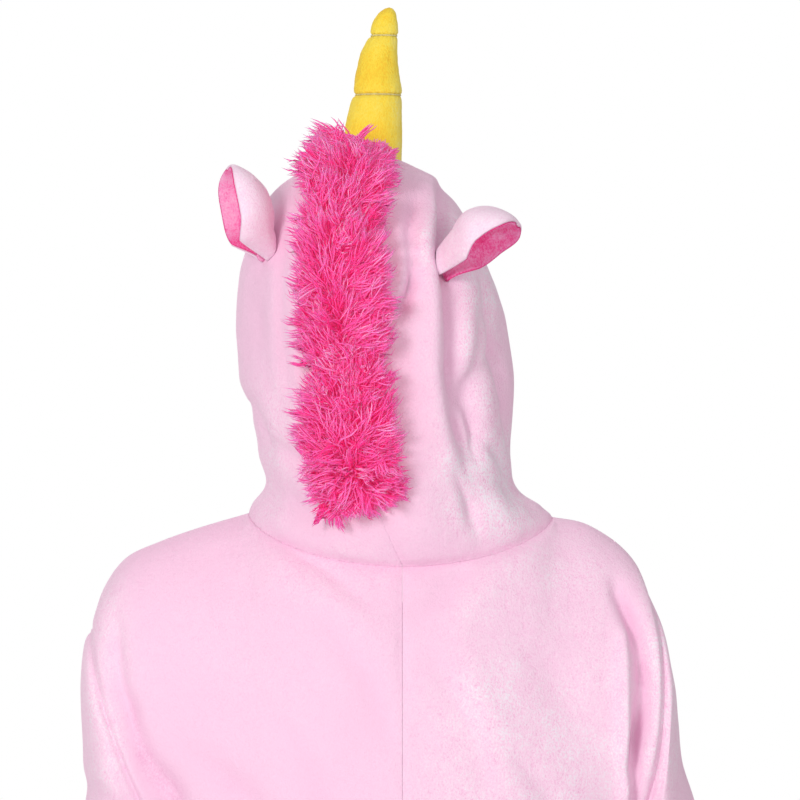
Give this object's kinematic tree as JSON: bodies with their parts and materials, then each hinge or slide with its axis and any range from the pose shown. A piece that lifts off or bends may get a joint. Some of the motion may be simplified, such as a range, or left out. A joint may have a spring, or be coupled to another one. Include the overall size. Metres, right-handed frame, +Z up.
{
  "type": "unicorn kigurumi onesie",
  "caption": "Hooded one-piece plush suit with a unicorn horn, shaggy mane and cupped ears, hollow as worn.",
  "frame": {"origin": "the middle of the neck hole, level with the shoulder ends of the neck seam", "axes": "+Z up along the standing wearer; the wearer faces -Y, so +X is the wearer's left"},
  "size_m": [0.5604, 0.287, 1.7525],
  "materials": {
    "plush": "short soft pile, pale pink",
    "hot_plush": "short soft pile, hot pink",
    "yarn": "long shaggy yarn pile, hot pink",
    "gold_plush": "short soft pile, golden yellow",
    "thread": "twisted thread, grey beige",
    "button_plastic": "satin pink"
  },
  "bodies": {
    "root": {"back_left": "plush", "back_right": "plush", "front_left": "plush", "front_right": "plush", "sleeve_left": "plush", "sleeve_right": "plush", "hood_left": "plush", "hood_right": "plush", "mane": "yarn", "horn": "gold_plush", "horn_thread_lower": "thread", "horn_thread_upper": "thread", "ear_left": "plush", "ear_right": "plush", "ear_lining_left": "hot_plush", "ear_lining_right": "hot_plush", "placket": "plush", "button_1": "button_plastic", "button_2": "button_plastic", "button_3": "button_plastic", "button_4": "button_plastic", "button_5": "button_plastic"}
  },
  "joints": []
}
